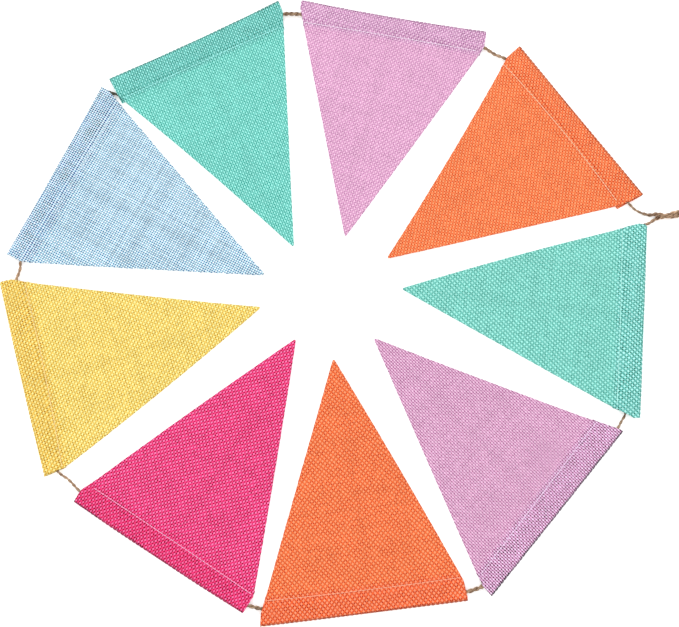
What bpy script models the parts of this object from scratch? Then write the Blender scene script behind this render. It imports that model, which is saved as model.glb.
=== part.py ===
"""Fabric bunting: nine sewn pennants threaded on one jute twine, laid out flat in a ring.

Metres, +Z up. The underside of the cloth lies on z = 0, and the origin is under the middle of the ring.
Each pennant is modelled in its own frame: the middle of its fold at the origin, the hem along X from
end a to end b, and the tip towards -Y. Its object's place and turn then put it in the ring.
"""

import collections
import math

import bmesh
import bpy
from mathutils import Vector

MM = 0.001

# Cloth and casing, in mm
CLOTH = 1.0  # thickness of the cloth
GAP = 0.3  # between two layers that lie on each other, and round the twine
TWINE = 2.0  # diameter of the twine
CASING = TWINE + 2 * GAP  # clear height inside the folded hem
FOLD_RADIUS = (CASING + CLOTH) / 2  # of the middle of the cloth, round the fold
FLAP_PAST = 2.5  # the turned-under edge reaches this far past the sewing
CLOSING = 3.0  # the top layer comes down to the flap within this distance of the sewing
LANDING = 7.0  # and lies on the ground this far past the sewing
SEAM = 1.0  # diameter of the row of sewing that joins the two layers
SEAM_INSET = 0.8  # the sewing stops this far from the sides
TIP_WIDTH = 1.2  # the tip is cut blunt
WELD = 0.01  # points this close are one

# How finely the cloth is divided
COLUMNS = 8  # across the hem
FLAP_ROWS = 2
FOLD_ROWS = 4
TOP_ROWS = (3.0, 2.0, 1.0, 0.0)  # distances from the sewing, in mm
NEAR_ROWS = (3.0, 4.75, 7.0)  # distances past the sewing, in mm
BODY_SHARES = (0.16, 0.3, 0.44, 0.58, 0.72, 0.86, 1.0)  # of the way from the sewing to the tip

# Where the single layer stands off the ground
TIP_FROM = 0.7  # share of the way to the tip from which it rises
SIDE_WITHIN = 0.4  # share of the hem's length, from a side, within which that side rises

# Where the middle of each fold lies, in mm, the turn of its hem in degrees, and its cloth
Place = collections.namedtuple("Place", "name x y turn cloth")
PLACES = (
    Place("pennant_1_teal", -98.2, 195.7, 26.4, "teal"),
    Place("pennant_2_lilac", 51.9, 214.2, -10.8, "lilac"),
    Place("pennant_3_orange", 188.4, 131.7, -53.6, "orange"),
    Place("pennant_4_teal", 226.4, -18.8, -95.3, "teal"),
    Place("pennant_5_lilac", 161.4, -151.6, -130.4, "lilac"),
    Place("pennant_6_orange", 28.6, -218.6, -173.0, "orange"),
    Place("pennant_7_pink", -112.6, -181.8, 148.1, "pink"),
    Place("pennant_8_yellow", -212.7, -58.6, 106.3, "yellow"),
    Place("pennant_9_blue", -197.6, 93.8, 64.0, "blue"),
)

# The hem's two ends, in mm. wide_a and wide_b are the fold's corners from its middle. From there the
# side runs to the elbow, which is that far out and that deep, and then straight on to the tip. sewn_a and
# sewn_b are the depth of the sewing at the ends, and sewn_bow is what it gains at mid-hem. round_a and
# round_b are the corners' radii, and flap_a and flap_b what the turned-under edge shows past the side.
Hem = collections.namedtuple(
    "Hem",
    "wide_a wide_b elbow_a deep_a elbow_b deep_b sewn_a sewn_b sewn_bow round_a round_b flap_a flap_b",
)
HEMS = (
    Hem(69.9, 70.3, 69.1, 16.0, 69.1, 10.8, 19.0, 20.0, -0.5, 1.0, 1.0, 2.3, 0.5),
    Hem(70.6, 70.6, 70.2, 7.0, 70.9, 13.2, 17.5, 16.8, -0.4, 3.2, 1.5, 0.4, 0.8),
    Hem(71.2, 72.3, 69.5, 14.3, 69.3, 16.5, 18.9, 19.0, -2.5, 0.8, 1.0, 0.4, 2.2),
    Hem(69.2, 69.0, 69.7, 6.5, 69.7, 5.0, 17.9, 16.6, -0.6, 3.0, 1.0, 0.3, 0.6),
    Hem(71.5, 73.0, 70.9, 3.0, 71.6, 9.5, 18.4, 14.9, -0.2, 0.8, 0.8, 0.4, 0.4),
    Hem(69.9, 70.5, 68.7, 14.0, 69.0, 8.8, 15.9, 16.4, -0.8, 0.8, 0.8, 0.4, 0.4),
    Hem(69.6, 68.6, 69.8, 13.0, 68.9, 9.5, 13.8, 15.3, 0.3, 1.0, 0.8, 0.6, 0.4),
    Hem(72.5, 70.3, 70.2, 15.0, 69.8, 9.0, 13.3, 17.1, 1.4, 0.8, 1.8, 0.5, 0.5),
    Hem(70.8, 71.4, 71.4, 11.8, 70.5, 8.0, 15.4, 17.7, 0.0, 1.0, 0.8, 0.6, 0.5),
)

# The rest of the cloth, in mm: the tip's place along the hem and its distance from the fold, how far the
# fold and the two sides bow out at their middles, and how far the tip and the sides stand off the ground
Cut = collections.namedtuple("Cut", "tip reach fold_bow bow_a bow_b lift_tip lift_a lift_b")
CUTS = (
    Cut(-2.8, 176.8, -1.2, -1.5, -0.2, 0.8, 0.5, 0.2),
    Cut(-3.7, 174.3, -1.4, 0.0, 0.4, 0.5, 0.2, 0.5),
    Cut(-0.1, 176.6, -0.2, -1.5, 0.1, 1.2, 0.6, 0.2),
    Cut(-7.3, 171.2, 0.1, 1.5, 0.1, 0.6, 0.3, 0.3),
    Cut(-10.1, 172.7, 0.1, -0.6, 0.2, 0.5, 0.2, 0.7),
    Cut(0.2, 173.0, 0.2, 0.9, 0.1, 1.0, 0.5, 0.3),
    Cut(0.2, 175.6, 0.7, 0.6, 0.9, 0.7, 0.8, 0.3),
    Cut(0.4, 174.3, 0.7, 1.5, -0.9, 0.6, 0.4, 0.6),
    Cut(-3.0, 173.6, -0.5, 0.2, 0.0, 0.9, 0.3, 0.2),
)

# The twine's route in the row's frame, in mm, from one cut end to the other: x, y, height of its middle
ROUTE = (
    # the end that comes out of the orange hem, lying over the other one once
    (278.2, 61.6, 1.1),
    (267.2, 60.1, 1.1),
    (256.0, 57.9, 1.5),
    (251.0, 56.8, 2.75),
    (246.6, 56.8, 3.45),
    (243.2, 57.9, 2.75),
    (240.0, 58.8, 1.5),
    (234.7, 58.4, 1.2),
    (230.2, 59.5, 1.3),
    (225.0, 62.0, 1.7),
    # through the orange hem at the right
    (221.1, 65.6, 2.3),
    (208.3, 84.2, 2.3),
    (149.0, 164.7, 2.3),
    (134.2, 179.2, 2.3),
    (127.4, 182.2, 2.3),
    # lilac, at the top
    (118.6, 188.1, 2.3),
    (98.5, 192.0, 2.3),
    (0.7, 212.6, 2.3),
    (-18.6, 215.7, 2.3),
    (-25.0, 216.0, 2.3),
    # teal, at the upper left
    (-31.5, 215.8, 2.3),
    (-48.1, 207.3, 2.3),
    (-136.6, 160.9, 2.3),
    (-153.4, 152.1, 2.3),
    (-157.2, 152.8, 2.3),
    # blue
    (-160.4, 153.8, 2.3),
    (-168.8, 135.3, 2.3),
    (-210.3, 44.3, 2.3),
    (-218.1, 25.8, 2.3),
    (-218.4, 18.0, 2.3),
    # yellow
    (-220.4, 10.8, 2.3),
    (-215.3, -7.2, 2.3),
    (-189.2, -103.8, 2.3),
    (-183.4, -124.0, 2.3),
    (-175.2, -130.2, 2.3),
    # pink
    (-166.8, -138.3, 2.3),
    (-151.1, -148.9, 2.3),
    (-67.3, -203.5, 2.3),
    (-50.4, -213.1, 2.3),
    (-46.0, -214.2, 2.3),
    # orange, at the bottom
    (-41.2, -215.3, 2.3),
    (-22.3, -214.3, 2.3),
    (77.4, -206.1, 2.3),
    (97.6, -203.9, 2.3),
    (102.8, -202.4, 2.3),
    # lilac, at the lower right
    (108.3, -200.0, 2.3),
    (122.9, -184.5, 2.3),
    (190.0, -110.3, 2.3),
    (203.9, -94.6, 2.3),
    (206.6, -90.0, 2.3),
    # teal, at the right
    (209.3, -85.6, 2.3),
    (212.7, -67.7, 2.3),
    (227.2, 31.4, 2.3),
    (230.4, 50.6, 2.3),
    # the end that comes out of the teal hem
    (234.0, 52.0, 1.7),
    (237.6, 54.4, 1.4),
    (240.5, 55.9, 1.3),
    (244.2, 56.9, 1.15),
    (248.2, 58.2, 1.1),
    (252.2, 59.7, 1.15),
    (256.0, 60.5, 1.4),
    (267.2, 62.9, 1.1),
    (274.2, 64.2, 1.1),
)
TURN_PER_STEP = 30.0  # degrees that a span of the route turns for each ring of the tube inside it
SHORT_SPAN = 8.0  # mm: a shorter span has no rings inside it
LONG_SPAN = 60.0  # mm: a longer span has one at least

# Base colour, linear, and roughness of each cloth and of the twine
FINISHES = {
    "teal": ((0.16, 0.58, 0.46, 1.0), 0.85),
    "lilac": ((0.67, 0.33, 0.63, 1.0), 0.85),
    "orange": ((0.93, 0.19, 0.07, 1.0), 0.85),
    "pink": ((0.80, 0.05, 0.17, 1.0), 0.85),
    "yellow": ((0.92, 0.66, 0.17, 1.0), 0.85),
    "blue": ((0.45, 0.63, 0.83, 1.0), 0.85),
    "jute": ((0.42, 0.30, 0.18, 1.0), 0.95),
}


def lerp(a, b, share):
    return a + (b - a) * share


def smooth(share):
    """0 to 1 with level ends."""
    return share * share * (3 - 2 * share)


def arch(share):
    """0 at both ends and 1 in the middle."""
    return 4 * share * (1 - share)


def side(hem, cut, end, depth):
    """How far out the cloth's side is at this depth from the fold, at end a or b, along the hem."""
    out = -1 if end == "a" else 1
    if end == "a":
        wide, elbow, deep, bow, corner = hem.wide_a, hem.elbow_a, hem.deep_a, cut.bow_a, hem.round_a
    else:
        wide, elbow, deep, bow, corner = hem.wide_b, hem.elbow_b, hem.deep_b, cut.bow_b, hem.round_b
    if depth < deep:
        reach = lerp(wide, elbow, depth / deep)
    else:
        share = (depth - deep) / (cut.reach - deep)
        reach = lerp(elbow, out * cut.tip + TIP_WIDTH / 2, share) + bow * arch(share)
    if depth < corner:
        reach -= corner * (1 - math.sqrt(1 - (1 - depth / corner) ** 2))
    return out * reach


def sewn_depth(hem, share):
    return lerp(hem.sewn_a, hem.sewn_b, share) + hem.sewn_bow * arch(share)


def hem_point(hem, cut, depths, height, share, poke=0.0):
    """A point of a row that runs along the hem: depths at end a, at this share of the way, and at end b."""
    low, here, high = depths
    start = side(hem, cut, "a", low) - poke * hem.flap_a
    stop = side(hem, cut, "b", high) + poke * hem.flap_b
    fold_share = 1 - min(1, here / sewn_depth(hem, share))
    y = -here + cut.fold_bow * arch(share) * fold_share
    return Vector((lerp(start, stop, share), y, height))


def flap_point(hem, cut, way, share):
    """The turned-under edge, from way 0 at its raw edge to 1 at the fold."""
    fold = CLOTH / 2 + FOLD_RADIUS
    depths = [lerp(sewn_depth(hem, s) + FLAP_PAST, fold, way) for s in (0, share, 1)]
    return hem_point(hem, cut, depths, CLOTH / 2, share, poke=1 - way)


def fold_point(hem, cut, way, share):
    """Round the fold, from way 0 underneath to 1 on top."""
    turn = math.pi * way
    depth = CLOTH / 2 + FOLD_RADIUS * (1 - math.sin(turn))
    height = CLOTH / 2 + FOLD_RADIUS * (1 - math.cos(turn))
    return hem_point(hem, cut, (depth, depth, depth), height, share)


def top_height(short_of_sewing):
    """Height of the casing's top layer at this distance from the sewing."""
    rise = smooth(min(1, short_of_sewing / CLOSING))
    return CLOTH / 2 + lerp(CLOTH + GAP, 2 * FOLD_RADIUS, rise)


def top_point(hem, cut, short, share):
    """The casing's top layer, this far short of the sewing."""
    depths = [sewn_depth(hem, s) - short for s in (0, share, 1)]
    return hem_point(hem, cut, depths, top_height(short), share)


def stand_off(cut, way, share):
    """How far the single layer stands off the ground, 0 over most of it."""
    tip = cut.lift_tip * max(0, (way - TIP_FROM) / (1 - TIP_FROM)) ** 2
    near_a = cut.lift_a * max(0, 1 - share / SIDE_WITHIN) ** 2
    near_b = cut.lift_b * max(0, 1 - (1 - share) / SIDE_WITHIN) ** 2
    return tip + math.sin(math.pi * way) ** 2 * (near_a + near_b)


def body_point(hem, cut, way, share):
    """The single layer, from way 0 at the sewing to 1 at the tip."""
    low = lerp(hem.sewn_a, cut.reach, way)
    high = lerp(hem.sewn_b, cut.reach, way)
    x = lerp(side(hem, cut, "a", low), side(hem, cut, "b", high), share)
    depth = lerp(low, high, share) + hem.sewn_bow * arch(share) * (1 - way)
    past = way * (cut.reach - sewn_depth(hem, share)) - FLAP_PAST - GAP
    over_flap = 1 - smooth(min(1, max(0, past / (LANDING - FLAP_PAST - GAP))))
    height = CLOTH / 2 + over_flap * (CLOTH + GAP) + stand_off(cut, way, share)
    return Vector((x, -depth, height))


def cloth_rows(hem, cut):
    """A function, and where to read it, for each row of the cloth from the turned-under edge to the tip."""
    rows = [(flap_point, i / FLAP_ROWS) for i in range(FLAP_ROWS)]
    rows += [(fold_point, i / FOLD_ROWS) for i in range(FOLD_ROWS + 1)]
    rows += [(top_point, short) for short in TOP_ROWS]
    long_way = cut.reach - sewn_depth(hem, 0.5)
    rows += [(body_point, past / long_way) for past in NEAR_ROWS]
    rows += [(body_point, way) for way in BODY_SHARES]
    return rows


def made_material(name):
    colour, roughness = FINISHES[name]
    material = bpy.data.materials.new(name)
    material.use_nodes = True
    shader = material.node_tree.nodes["Principled BSDF"]
    shader.inputs["Base Color"].default_value = colour
    shader.inputs["Roughness"].default_value = roughness
    shader.inputs["Metallic"].default_value = 0.0
    return material


def placed(obj, place):
    obj.location = (place.x * MM, place.y * MM, 0)
    obj.rotation_euler = (0, 0, math.radians(place.turn))


def tube(name, points, diameter, sides):
    """A curve with filled caps through these points, in mm. sides is its bevel_resolution."""
    curve = bpy.data.curves.new(name, "CURVE")
    curve.dimensions = "3D"
    curve.bevel_depth = diameter / 2 * MM
    curve.bevel_resolution = sides
    curve.use_fill_caps = True
    spline = curve.splines.new("POLY")
    spline.points.add(len(points) - 1)
    for spot, point in zip(spline.points, points):
        spot.co = (*(point * MM), 1)
    return bpy.data.objects.new(name, curve)


def as_mesh(obj, collection):
    """The curve object made a mesh object with its caps welded, and the curve removed."""
    collection.objects.link(obj)
    bpy.context.view_layer.update()
    evaluated = obj.evaluated_get(bpy.context.evaluated_depsgraph_get())
    mesh = bpy.data.meshes.new_from_object(evaluated)
    shape = bmesh.new()
    shape.from_mesh(mesh)
    bmesh.ops.remove_doubles(shape, verts=shape.verts, dist=WELD * MM)
    bmesh.ops.recalc_face_normals(shape, faces=shape.faces)
    shape.to_mesh(mesh)
    shape.free()
    name = obj.name
    matrix = obj.matrix_world.copy()
    bpy.data.objects.remove(obj)
    made = bpy.data.objects.new(name, mesh)
    made.matrix_world = matrix
    collection.objects.link(made)
    return made


def seam(place, hem, cut, collection):
    """The row of sewing, inside both layers of the hem, which makes them one body there."""
    height = CLOTH + GAP / 2
    width = hem.wide_a + hem.wide_b
    points = []
    for i in range(COLUMNS + 1):
        share = lerp(SEAM_INSET / width, 1 - SEAM_INSET / width, i / COLUMNS)
        point = top_point(hem, cut, 0.0, share)
        points.append(Vector((point.x, point.y, height)))
    sewing = as_mesh(tube(place.name + "_seam", points, SEAM, 0), collection)
    placed(sewing, place)
    sewing.hide_render = True
    sewing.display_type = "WIRE"
    return sewing


def pennant(place, hem, cut, parts, cutters, material):
    """A flat grid of cloth, folded to the back along the hem, thickened and sewn."""
    rows = cloth_rows(hem, cut)
    shape = bmesh.new()
    bmesh.ops.create_grid(shape, x_segments=COLUMNS, y_segments=len(rows) - 1, size=0.5)
    for vert in shape.verts:
        share = vert.co.x + 0.5
        point_at, way = rows[round((vert.co.y + 0.5) * (len(rows) - 1))]
        vert.co = point_at(hem, cut, way, share) * MM
    for face in shape.faces:
        face.smooth = True
    mesh = bpy.data.meshes.new(place.name)
    shape.to_mesh(mesh)
    shape.free()
    mesh.materials.append(material)
    cloth = bpy.data.objects.new(place.name, mesh)
    parts.objects.link(cloth)
    placed(cloth, place)
    thick = cloth.modifiers.new("Thickness", "SOLIDIFY")
    thick.thickness = CLOTH * MM
    thick.offset = 0
    thick.use_even_offset = True
    sewn = cloth.modifiers.new("Sewing", "BOOLEAN")
    sewn.operation = "UNION"
    sewn.object = seam(place, hem, cut, cutters)
    return cloth


def route_headings(points):
    """The smooth route's direction over the ground at each of its points."""
    legs = [(b - a).to_2d().normalized() for a, b in zip(points, points[1:])]
    between = [(into + out).normalized() for into, out in zip(legs, legs[1:])]
    return [legs[0], *between, legs[-1]]


def inner_rings(span, turn):
    """How many of the tube's rings lie inside a span of the route."""
    if span < SHORT_SPAN:
        return 0
    return max(round(math.degrees(turn) / TURN_PER_STEP), int(span > LONG_SPAN))


def smooth_route(points):
    """The tube's points, read from a smooth curve through the route's own points."""
    headings = route_headings(points)
    found = []
    for (a, b), (leave, arrive) in zip(zip(points, points[1:]), zip(headings, headings[1:])):
        span = (b - a).to_2d().length
        steps = 1 + inner_rings(span, leave.angle(arrive))
        for k in range(steps):
            t = k / steps
            ground = a.to_2d().lerp(b.to_2d(), smooth(t))
            ground += leave * span * t * (1 - t) ** 2 - arrive * span * t * t * (1 - t)
            found.append(Vector((*ground, lerp(a.z, b.z, smooth(t)))))
    return [*found, points[-1]]


def twine(parts, material):
    points = smooth_route([Vector(point) for point in ROUTE])
    cord = tube("twine", points, TWINE, 2)
    cord.data.materials.append(material)
    parts.objects.link(cord)
    length = sum((b - a).length for a, b in zip(points, points[1:]))
    print(f"twine: {len(points)} points, {length:.0f} mm")


def main():
    for obj in list(bpy.data.objects):
        bpy.data.objects.remove(obj)
    parts = bpy.data.collections.new("fabric_bunting")
    cutters = bpy.data.collections.new("cutters")
    for collection in (parts, cutters):
        bpy.context.scene.collection.children.link(collection)
    materials = {name: made_material(name) for name in FINISHES}
    for place, hem, cut in zip(PLACES, HEMS, CUTS):
        pennant(place, hem, cut, parts, cutters, materials[place.cloth])
    twine(parts, materials["jute"])


main()
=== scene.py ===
# %% [markdown]
# A bunting is a row of small flags on a string. This one has nine cotton pennants. Each is one piece of plain
# weave with its wide end turned to the back and sewn down, so that a tube is left for a jute twine. It lies
# flat in a ring with the tips inwards. We look down on it, from a little in front of it.
#
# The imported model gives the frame: where every solid is and how large. The cloth here is a thin sheet that
# lies where the solid lies, with its threads as real relief and in its finish.

import collections
import math

import bpy
from mathutils import Matrix, Vector, noise


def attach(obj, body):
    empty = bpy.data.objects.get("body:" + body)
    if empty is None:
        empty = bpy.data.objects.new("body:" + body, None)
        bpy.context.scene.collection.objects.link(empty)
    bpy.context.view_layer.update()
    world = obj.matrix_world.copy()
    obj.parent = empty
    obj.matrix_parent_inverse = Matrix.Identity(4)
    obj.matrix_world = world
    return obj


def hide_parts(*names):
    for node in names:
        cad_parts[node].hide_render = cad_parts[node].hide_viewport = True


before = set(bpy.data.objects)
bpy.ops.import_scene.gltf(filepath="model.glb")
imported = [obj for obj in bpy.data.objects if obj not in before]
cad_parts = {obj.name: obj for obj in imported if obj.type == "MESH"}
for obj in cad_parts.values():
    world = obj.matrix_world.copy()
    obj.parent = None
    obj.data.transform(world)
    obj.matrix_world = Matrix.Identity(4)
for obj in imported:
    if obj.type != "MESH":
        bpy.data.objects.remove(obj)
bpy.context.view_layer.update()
MM = 0.001

# %% [markdown]
# Three small helpers serve everything below. Edit-mode operators act on whatever is selected, so every step
# starts with nothing selected. Colours are picked as sRGB hex values, the way a paint chart gives them, and
# the shaders want them linear. Nodes are added by one function that also fills in and links their inputs.


# %% Helpers
def select_only(*objects):
    bpy.ops.object.select_all(action="DESELECT")
    for obj in objects:
        obj.select_set(True)
    bpy.context.view_layer.objects.active = objects[0]


def linear(hex_colour):
    """An sRGB hex value such as "#8fd7c9" as linear red, green, blue and alpha."""
    parts = [int(hex_colour[i : i + 2], 16) / 255 for i in (1, 3, 5)]
    return (*(p / 12.92 if p <= 0.04045 else ((p + 0.055) / 1.055) ** 2.4 for p in parts), 1.0)


def add_node(tree, kind, inputs=None, output=0, **settings):
    """Adds a shader node, sets it, fills or links its inputs, and gives back one of its outputs."""
    node = tree.nodes.new("ShaderNode" + kind)
    for setting, value in settings.items():
        setattr(node, setting, value)
    for socket, value in (inputs or {}).items():
        if isinstance(value, bpy.types.NodeSocket):
            tree.links.new(value, node.inputs[socket])
        else:
            node.inputs[socket].default_value = value
    return node.outputs[output]


# settings of a Mix node whose factor may go below 0 or past 1
PAST_THE_ENDS = {"data_type": "RGBA", "clamp_factor": False, "clamp_result": True}

# %% [markdown]
# The photograph was taken from above with the camera tipped a little towards the viewer, because pennants
# that were cut alike look 5% smaller at the top of the picture than in the middle. A 50 mm lens two thirds of
# a metre away gives that. The camera is first thought of as looking straight down, and is then tipped about
# a level axis through the point it looks at.

# %% Camera
LENS = 50.0  # mm, on a sensor 36 mm wide
LOOKED_AT = Vector((11.4, -13.4, 0.0)) * MM
DISTANCE = 671.4 * MM
TIPPED = math.radians(10.495)
TOWARDS = math.radians(-85.9)  # the side that the camera is tipped towards

tip_axis = Vector((-math.sin(TOWARDS), math.cos(TOWARDS), 0))
tipping = Matrix.Rotation(TIPPED, 4, tip_axis)
eye = LOOKED_AT + tipping @ Vector((0, 0, DISTANCE))
bpy.ops.object.camera_add(location=eye, rotation=tipping.to_euler())
camera = bpy.context.object
camera.name = "camera"
camera.data.lens = LENS
camera.data.sensor_width = 36.0
camera.data.clip_start = 0.01
bpy.context.scene.camera = camera
print("camera at", [round(c, 3) for c in camera.location])

# %% [markdown]
# The twine is jute, two plies twisted together to about 2 mm. It runs through all nine hems in turn and its
# two ends leave side by side at the right, lying over each other once. The route below is the one that the
# solid twine follows, in millimetres. A smooth curve is read through its points, and each ply then winds
# round that curve. A bevelled curve for each ply is the simplest way to get a closed tube.

# %% The twine's route
TWINE = 2.0  # diameter, mm
ROUTE = (
    # the end that comes out of the orange hem
    (278.2, 61.6, 1.1),
    (267.2, 60.1, 1.1),
    (256.0, 57.9, 1.5),
    (251.0, 56.8, 2.75),
    (246.6, 56.8, 3.45),
    (243.2, 57.9, 2.75),
    (240.0, 58.8, 1.5),
    (234.7, 58.4, 1.2),
    (230.2, 59.5, 1.3),
    (225.0, 62.0, 1.7),
    # the orange hem at the right
    (221.1, 65.6, 2.3),
    (208.3, 84.2, 2.3),
    (149.0, 164.7, 2.3),
    (134.2, 179.2, 2.3),
    (127.4, 182.2, 2.3),
    # lilac, at the top
    (118.6, 188.1, 2.3),
    (98.5, 192.0, 2.3),
    (0.7, 212.6, 2.3),
    (-18.6, 215.7, 2.3),
    (-25.0, 216.0, 2.3),
    # teal, at the upper left
    (-31.5, 215.8, 2.3),
    (-48.1, 207.3, 2.3),
    (-136.6, 160.9, 2.3),
    (-153.4, 152.1, 2.3),
    (-157.2, 152.8, 2.3),
    # blue
    (-160.4, 153.8, 2.3),
    (-168.8, 135.3, 2.3),
    (-210.3, 44.3, 2.3),
    (-218.1, 25.8, 2.3),
    (-218.4, 18.0, 2.3),
    # yellow
    (-220.4, 10.8, 2.3),
    (-215.3, -7.2, 2.3),
    (-189.2, -103.8, 2.3),
    (-183.4, -124.0, 2.3),
    (-175.2, -130.2, 2.3),
    # pink
    (-166.8, -138.3, 2.3),
    (-151.1, -148.9, 2.3),
    (-67.3, -203.5, 2.3),
    (-50.4, -213.1, 2.3),
    (-46.0, -214.2, 2.3),
    # orange, at the bottom
    (-41.2, -215.3, 2.3),
    (-22.3, -214.3, 2.3),
    (77.4, -206.1, 2.3),
    (97.6, -203.9, 2.3),
    (102.8, -202.4, 2.3),
    # lilac, at the lower right
    (108.3, -200.0, 2.3),
    (122.9, -184.5, 2.3),
    (190.0, -110.3, 2.3),
    (203.9, -94.6, 2.3),
    (206.6, -90.0, 2.3),
    # teal, at the right
    (209.3, -85.6, 2.3),
    (212.7, -67.7, 2.3),
    (227.2, 31.4, 2.3),
    (230.4, 50.6, 2.3),
    # the end that comes out of the teal hem
    (234.0, 52.0, 1.7),
    (237.6, 54.4, 1.4),
    (240.5, 55.9, 1.3),
    (244.2, 56.9, 1.15),
    (248.2, 58.2, 1.1),
    (252.2, 59.7, 1.15),
    (256.0, 60.5, 1.4),
    (267.2, 62.9, 1.1),
    (274.2, 64.2, 1.1),
)


def lerp(a, b, share):
    return a + (b - a) * share


def smooth(share):
    """0 to 1 with level ends."""
    share = min(1.0, max(0.0, share))
    return share * share * (3 - 2 * share)


def arch(share):
    """0 at both ends and 1 in the middle."""
    return 4 * share * (1 - share)


def smooth_route(points, step):
    """Points about this far apart, in mm, on a smooth curve through the route's points."""
    legs = [(b - a).to_2d().normalized() for a, b in zip(points, points[1:])]
    headings = [legs[0], *((a + b).normalized() for a, b in zip(legs, legs[1:])), legs[-1]]
    found = []
    for (a, b), (leave, arrive) in zip(zip(points, points[1:]), zip(headings, headings[1:])):
        span = (b - a).to_2d().length
        steps = max(1, round(span / step))
        for k in range(steps):
            t = k / steps
            ground = a.to_2d().lerp(b.to_2d(), smooth(t))
            ground += leave * span * t * (1 - t) ** 2 - arrive * span * t * t * (1 - t)
            found.append(Vector((*ground, lerp(a.z, b.z, smooth(t)))))
    return [*found, points[-1]]


ROUTE_STEP = 0.8  # mm
twine_path = smooth_route([Vector(point) for point in ROUTE], ROUTE_STEP)

# %% [markdown]
# Two plies of a soft twine press into each other, so each is a little thicker than half the twine, and they
# make one turn in about four diameters. Jute is uneven: each ply swells and thins along its length, which a
# slow noise on the tube's radius gives, and where the twine shows between two pennants it is slack and thick
# in one place and pulled thin in another. A short table says how thick it is there, and how much darker, or
# below 0 how much paler, its colour is painted. Where it leaves the blue hem for the teal one the twine lies
# in shade, and that shade is painted on it, nearly black.

# %% The twine's plies
LAY = 8.0  # mm of twine for one full turn of the plies
PLY_RADIUS = 0.56  # mm
PLY_OUT = 0.46  # mm from the twine's middle to the ply's
SWELL = 0.22  # a ply swells and thins by up to this share
SWELL_EVERY = 4.0  # mm
STRAND_RUN = 20.0  # mm of a ply for one unit of the pattern of its strands
# where a stretch is, how far it reaches in mm, how many times as thick the twine is there, and how dark
# it is painted there: painted shade at the first stretch, a darker or paler tone at the others
Stretch = collections.namedtuple("Stretch", "x y reach thick dark")
STRETCHES = (
    Stretch(-158, 153, 11, 1.25, 0.85),
    Stretch(-25, 216, 14, 1.55, 0.0),
    Stretch(126, 182, 14, 1.25, 0.0),
    Stretch(207, -90, 12, 0.92, 0.2),
    Stretch(103, -202, 12, 1.50, 0.05),
    Stretch(-46, -214, 12, 1.40, 0.1),
    Stretch(-175, -130, 14, 0.98, -0.1),
    Stretch(-218, 18, 14, 1.12, -0.3),
    Stretch(228, 60, 9, 0.90, 0.1),
    Stretch(236, 53, 5, 0.80, -0.1),
    Stretch(264, 61, 40, 1.60, -0.2),
)


def stretch_at(point):
    """How many times as thick as elsewhere the twine is at this point, and how dark, 1 being black."""
    thick, dark = 1.0, 0.0
    for stretch in STRETCHES:
        away = math.hypot(point.x - stretch.x, point.y - stretch.y) / stretch.reach
        near = smooth(2 * (1 - away))
        thick += (stretch.thick - 1) * near
        dark += stretch.dark * near
    return thick, dark


def ply(name, path, start_turn):
    """One ply as a bevelled curve that winds round the path."""
    curve = bpy.data.curves.new(name, "CURVE")
    curve.dimensions = "3D"
    curve.bevel_depth = PLY_RADIUS * MM
    curve.bevel_resolution = 2
    curve.use_fill_caps = True
    spline = curve.splines.new("POLY")
    spline.points.add(len(path) - 1)
    along = 0.0
    for i, here in enumerate(path):
        ahead = (path[min(i + 1, len(path) - 1)] - path[max(i - 1, 0)]).normalized()
        sideways = ahead.cross(Vector((0, 0, 1))).normalized()
        upwards = sideways.cross(ahead)
        if i:
            along += (here - path[i - 1]).length
        turn = start_turn + 2 * math.pi * along / LAY
        out = sideways * math.cos(turn) + upwards * math.sin(turn)
        thick, dark = stretch_at(here)
        radius = thick * (1 + SWELL * noise.noise(Vector((along / SWELL_EVERY, start_turn, 0))))
        middle = here + out * PLY_OUT * thick
        middle.z = max(middle.z, PLY_RADIUS * radius)  # a thick ply rests on the card
        spline.points[i].co = (*(middle * MM), 1)
        spline.points[i].radius = radius
    made = bpy.data.objects.new(name, curve)
    bpy.context.scene.collection.objects.link(made)
    return made


plies = [ply(f"ply_{k}", twine_path, k * math.pi) for k in range(2)]
select_only(*plies)
bpy.ops.object.convert(target="MESH")
# strands run along a ply, so every point notes how far along it is and which way round, and how dark it
# is painted, which is painted shade between the blue and the teal hem
for made in plies:
    around = len(made.data.vertices) // len(twine_path)
    strands = made.data.attributes.new("strands", "FLOAT_VECTOR", "POINT")
    for i, mark in enumerate(strands.data):
        angle = 2 * math.pi * (i % around) / around
        mark.vector = (i // around * ROUTE_STEP / STRAND_RUN, math.cos(angle), math.sin(angle))
    painted_shade_and_tone = made.data.attributes.new("painted_shade_and_tone", "FLOAT", "POINT")
    for i, mark in enumerate(painted_shade_and_tone.data):
        ring = min(i // around, len(twine_path) - 1)  # the caps come last
        mark.value = stretch_at(twine_path[ring])[1]
print("points round a ply:", around)

# %% [markdown]
# Jute is hairy. Fibres stand off the twine by a millimetre or so, and only soften its outline in the picture,
# but close up they are what tells jute from cotton cord. One fibre is a thin bent blade, and some hundreds of
# copies are turned every way but down along the open route and joined to the plies. Inside a hem the fibres
# are pressed flat, so none are made there.

# %% The twine's fibres
FIBRE = 0.12  # mm thick
FIBRE_REACH = 2.2  # mm
FIBRE_BEND = 0.5  # mm
FIBRE_ROOT = 0.75  # mm from the twine's middle
FIBRE_LEAN = 0.25  # how steeply it stands, beside 1 along the twine
LEVEL = 0.05  # share of the half turn over the twine without fibres, at each side
NEXT_ROUND = 0.382  # of that half turn, from one fibre to the next


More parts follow.
